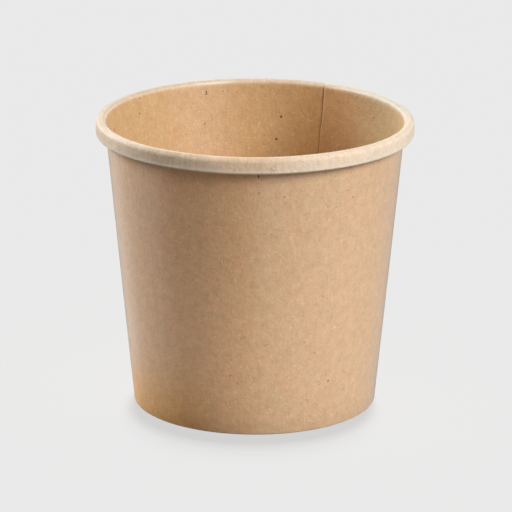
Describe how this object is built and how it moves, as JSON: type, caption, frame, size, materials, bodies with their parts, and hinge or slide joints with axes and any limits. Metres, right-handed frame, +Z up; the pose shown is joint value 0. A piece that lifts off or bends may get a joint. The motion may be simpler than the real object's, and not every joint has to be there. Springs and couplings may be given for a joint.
{
  "type": "paper pasta bowl",
  "caption": "Tall, tapered round bowl of brown kraft board with a curled rim, a lapped side seam and a recessed base, for pasta, soup or other food to take away.",
  "frame": {"origin": "centre of the foot, on the plane the bowl stands on", "axes": "+Z up the bowl's axis to its mouth; the side seam's inner cut edge lies 62.5 degrees round from +X towards +Y"},
  "size_m": [0.117, 0.117, 0.108],
  "materials": {
    "wall_board": "matte",
    "base_board": "matte"
  },
  "bodies": {
    "root": {"side_wall": "wall_board", "base_disc": "base_board"}
  },
  "joints": []
}
